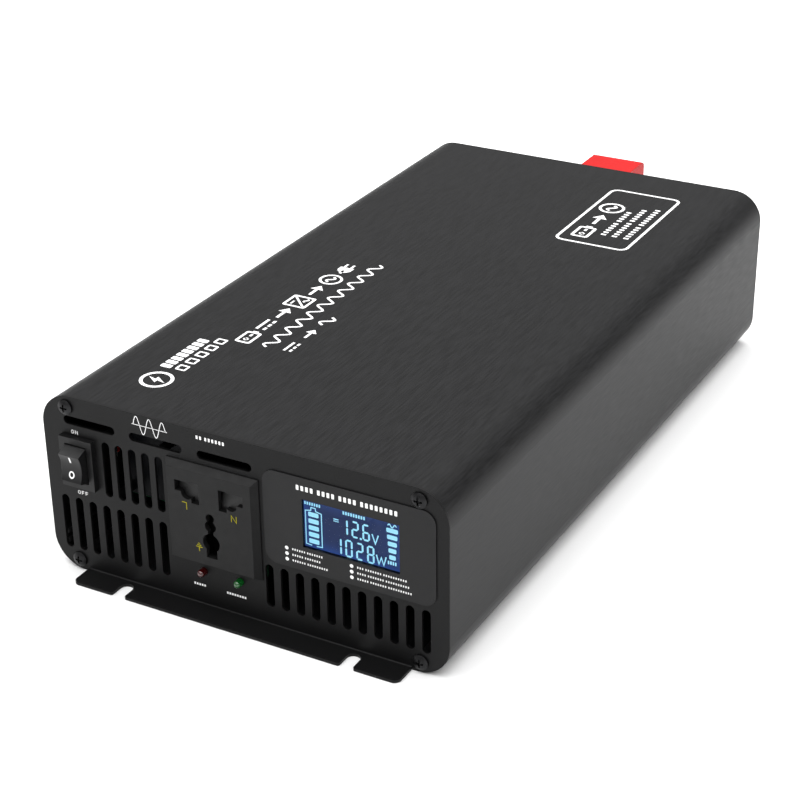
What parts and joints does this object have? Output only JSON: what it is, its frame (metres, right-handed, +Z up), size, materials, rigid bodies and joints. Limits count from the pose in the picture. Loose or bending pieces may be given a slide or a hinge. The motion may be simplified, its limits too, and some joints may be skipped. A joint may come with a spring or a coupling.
{
  "type": "power inverter",
  "caption": "Black box-shaped DC to AC power inverter with slotted flanged end panels, rocker switch, universal outlet, lit display, twin rear fans and covered DC studs.",
  "frame": {"origin": "centre of the sleeve's flat underside, level with the undersides of both mounting flanges", "axes": "+X to the right seen from the front, +Y from the front panel to the rear panel, +Z up"},
  "size_m": [0.173, 0.3622, 0.0755],
  "materials": {
    "anodised_sleeve": "black anodised, satin, brushed along the length",
    "panel_coat": "fine matt black powder coat",
    "screw_steel": "black zinc, semi-gloss",
    "overlay_plastic": "satin dark grey",
    "display_glass": "clear, glossy",
    "display_light": "blue lit diffuser",
    "board_laminate": "green solder mask, semi-gloss",
    "control_laminate": "dark solder mask, semi-gloss",
    "zinc_steel": "zinc plated",
    "guard_steel": "nickel plated wire",
    "black_moulding": "moulded black, fine texture",
    "outlet_moulding": "moulded charcoal, fine texture",
    "shutter_moulding": "moulded mid grey",
    "contact_brass": "brass, satin",
    "red_lens": "tinted clear epoxy",
    "green_lens": "tinted clear epoxy, lit",
    "winding_copper": "enamelled copper",
    "bar_copper": "tinned and bare copper",
    "red_moulding": "glossy bright red",
    "capacitor_sleeve": "shrunk sleeve, glossy",
    "fuse_body": "translucent orange",
    "ferrite": "sintered, matt",
    "bobbin_moulding": "phenolic, satin",
    "winding_tape": "polyester tape, glossy",
    "sink_aluminium": "mill finish extrusion",
    "transistor_epoxy": "moulded epoxy",
    "core_coating": "epoxy coated powder core",
    "lead_insulation": "PVC, satin",
    "ribbon_insulation": "PVC, satin",
    "white_ink": "screen print, satin",
    "yellow_ink": "pad print, satin",
    "display_segments": "lit display segments"
  },
  "bodies": {
    "enclosure": {"housing_sleeve": "anodised_sleeve", "front_panel": "panel_coat", "rear_panel": "panel_coat", "front_panel_screws": "screw_steel", "rear_panel_screws": "screw_steel", "fan_screws": "screw_steel", "display_overlay": "overlay_plastic", "lcd_glass": "display_glass", "lcd_backlight": "display_light", "display_board": "board_laminate", "lamp_board": "board_laminate", "main_board": "board_laminate", "control_board": "control_laminate", "board_screws": "zinc_steel", "switch_terminals": "zinc_steel", "terminal_washers": "zinc_steel", "terminal_nuts": "zinc_steel", "clamp_bars": "zinc_steel", "clamp_screws": "zinc_steel", "shutter_springs": "zinc_steel", "fan_guards": "guard_steel", "switch_housing": "black_moulding", "outlet_body": "black_moulding", "terminal_block": "black_moulding", "left_fan_frame": "black_moulding", "right_fan_frame": "black_moulding", "outlet_faceplate": "outlet_moulding", "live_contact": "contact_brass", "neutral_contact": "contact_brass", "earth_contact": "contact_brass", "positive_stud": "contact_brass", "negative_stud": "contact_brass", "fault_lamp": "red_lens", "running_lamp": "green_lens", "fan_stators": "winding_copper", "inductor_winding": "winding_copper", "positive_busbar": "bar_copper", "negative_busbar": "bar_copper", "input_capacitors": "capacitor_sleeve", "bus_capacitors": "capacitor_sleeve", "blade_fuses": "fuse_body", "transformer_cores": "ferrite", "transformer_bobbins": "bobbin_moulding", "transformer_windings": "winding_tape", "left_heatsink": "sink_aluminium", "right_heatsink": "sink_aluminium", "input_transistors": "transistor_epoxy", "output_transistors": "transistor_epoxy", "inductor_core": "core_coating", "outlet_leads": "lead_insulation", "switch_leads": "lead_insulation", "fan_leads": "lead_insulation", "display_ribbon": "ribbon_insulation"},
    "rocker": {"switch_rocker": "black_moulding"},
    "shutter": {"outlet_shutter": "shutter_moulding"},
    "left_fan": {"left_fan_rotor": "black_moulding"},
    "right_fan": {"right_fan_rotor": "black_moulding"},
    "positive_boot": {"positive_cover": "red_moulding"},
    "negative_boot": {"negative_cover": "black_moulding"}
  },
  "joints": [
    {"name": "rocker_tip", "type": "hinge", "parent": "enclosure", "child": "rocker", "pos_m": [-0.0705, -0.15755, 0.0487], "axis": [-1, 0, 0], "range_deg": [0, 16]},
    {"name": "shutter_drop", "type": "slide", "parent": "enclosure", "child": "shutter", "axis": [0, 0, -1], "range_m": [0, 0.0112], "stiffness_N_per_m": 60, "springref_m": -0.003, "deforming": ["shutter_springs"]},
    {"name": "left_fan_spin", "type": "hinge", "parent": "enclosure", "child": "left_fan", "pos_m": [-0.046, 0.145, 0.03775], "axis": [0, 1, 0], "continuous": true},
    {"name": "right_fan_spin", "type": "hinge", "parent": "enclosure", "child": "right_fan", "pos_m": [0.046, 0.145, 0.03775], "axis": [0, 1, 0], "continuous": true},
    {"name": "positive_cover_pull", "type": "slide", "parent": "enclosure", "child": "positive_boot", "axis": [0, 1, 0], "range_m": [0, 0.045]},
    {"name": "negative_cover_pull", "type": "slide", "parent": "enclosure", "child": "negative_boot", "axis": [0, 1, 0], "range_m": [0, 0.045]}
  ]
}
